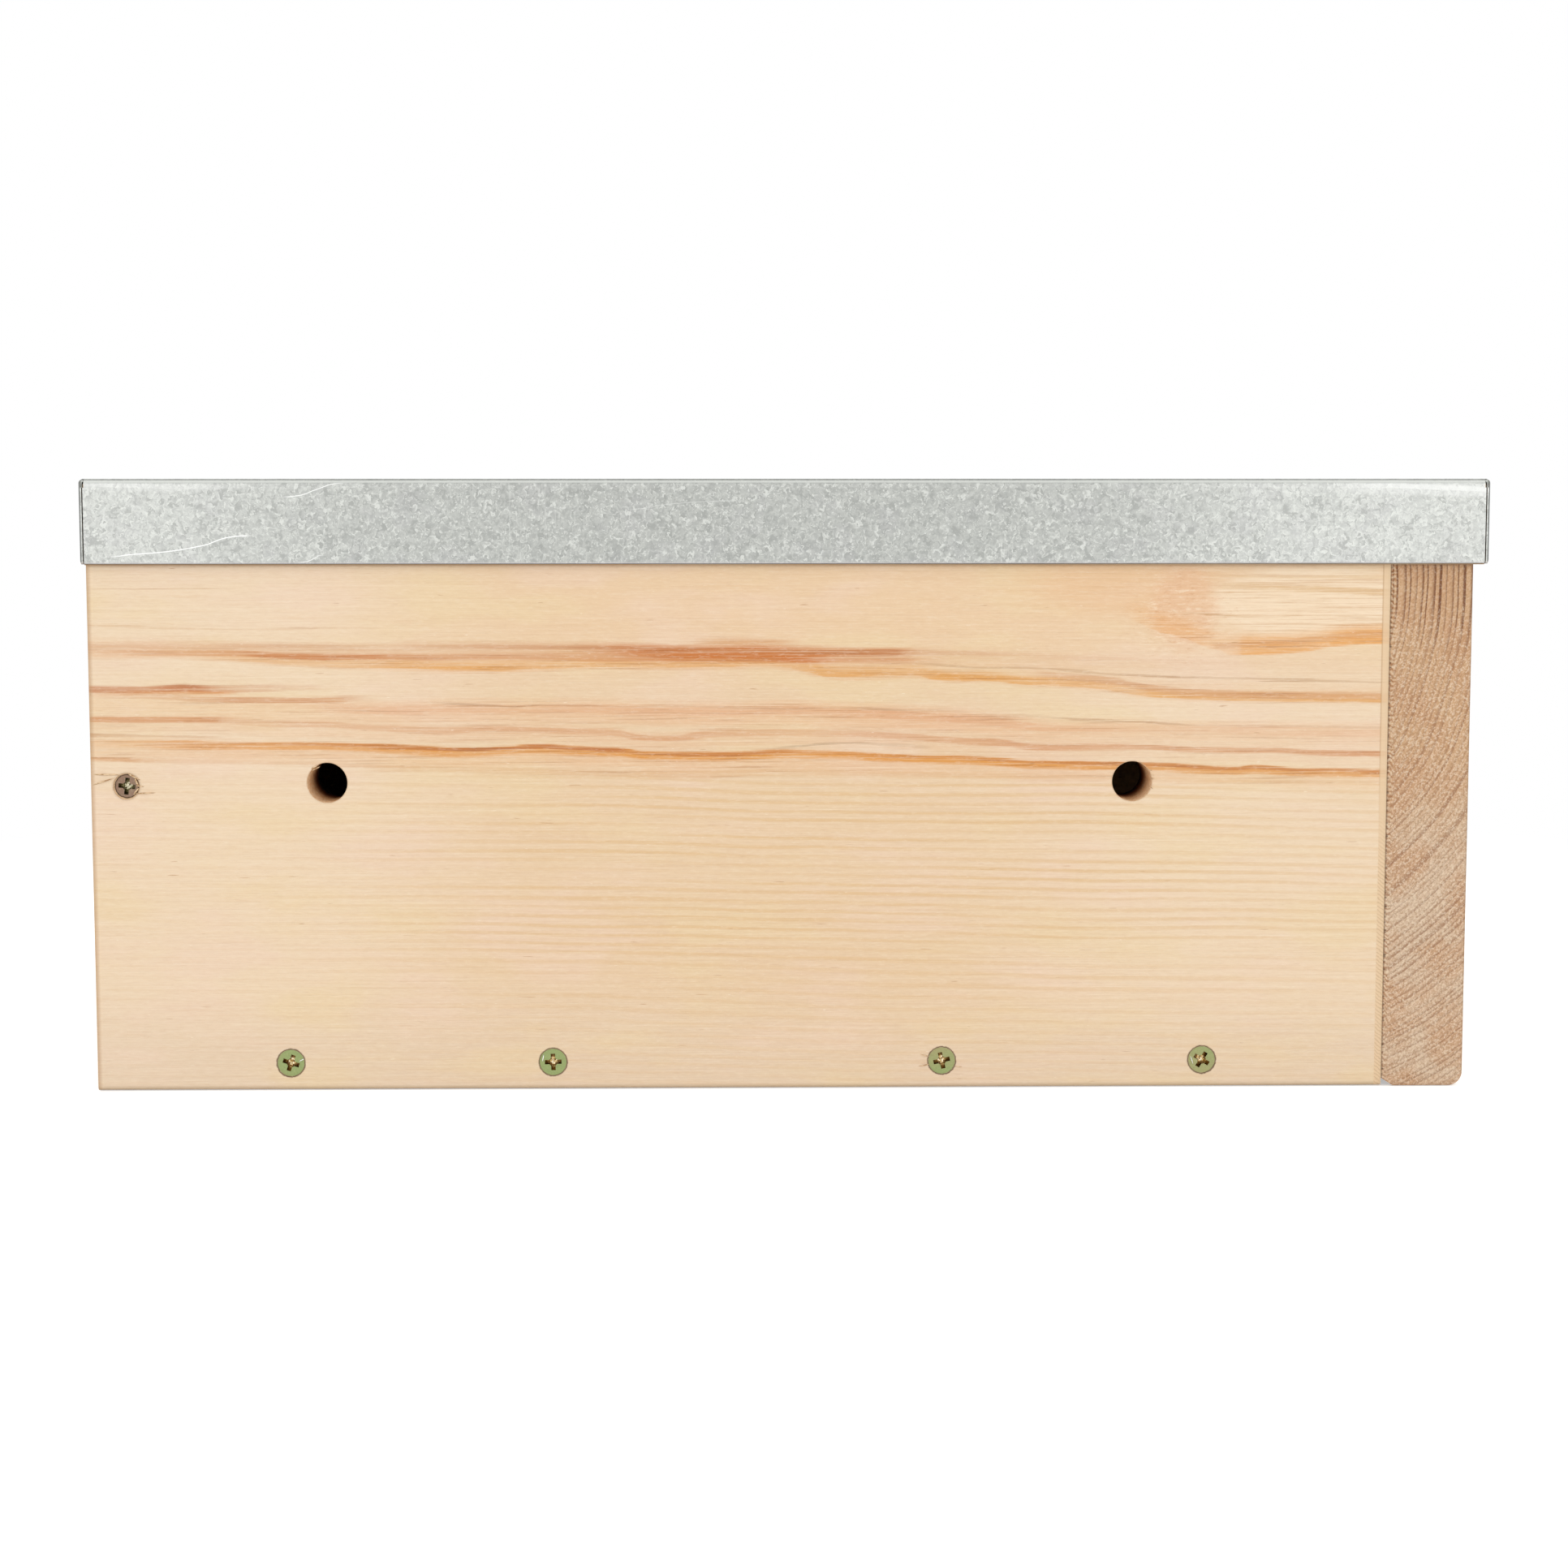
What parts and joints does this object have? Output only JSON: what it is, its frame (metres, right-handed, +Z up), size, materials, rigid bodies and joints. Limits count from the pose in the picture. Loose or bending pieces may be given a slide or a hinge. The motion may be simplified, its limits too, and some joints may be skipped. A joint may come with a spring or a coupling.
{
  "type": "swift nest box",
  "caption": "Low wooden nest box with an oval entrance in one end, hanging holes through one side wall and a folded sheet-metal cap screwed over its roof.",
  "frame": {"origin": "underside, under the middle of the roof cap", "axes": "+X along the box from the rear board to the entrance board, +Z up, and the side wall with the hanging holes faces -Y"},
  "size_m": [0.3504, 0.1936, 0.1521],
  "materials": {
    "wall_pine": "planed, untreated",
    "entrance_pine": "sawn, end grain",
    "galvanised_sheet": "galvanised, light spangle",
    "yellow_zinc": "passivated zinc"
  },
  "bodies": {
    "root": {"drilled_wall": "wall_pine", "plain_wall": "wall_pine", "rear_board": "wall_pine", "floor_plank_rear": "wall_pine", "floor_plank_front": "wall_pine", "roof_board": "wall_pine", "entrance_board": "entrance_pine", "roof_cap": "galvanised_sheet", "floor_screws": "yellow_zinc", "rear_board_screws": "yellow_zinc", "entrance_board_screws": "yellow_zinc", "roof_board_screws": "yellow_zinc", "cap_screws": "galvanised_sheet"}
  },
  "joints": []
}
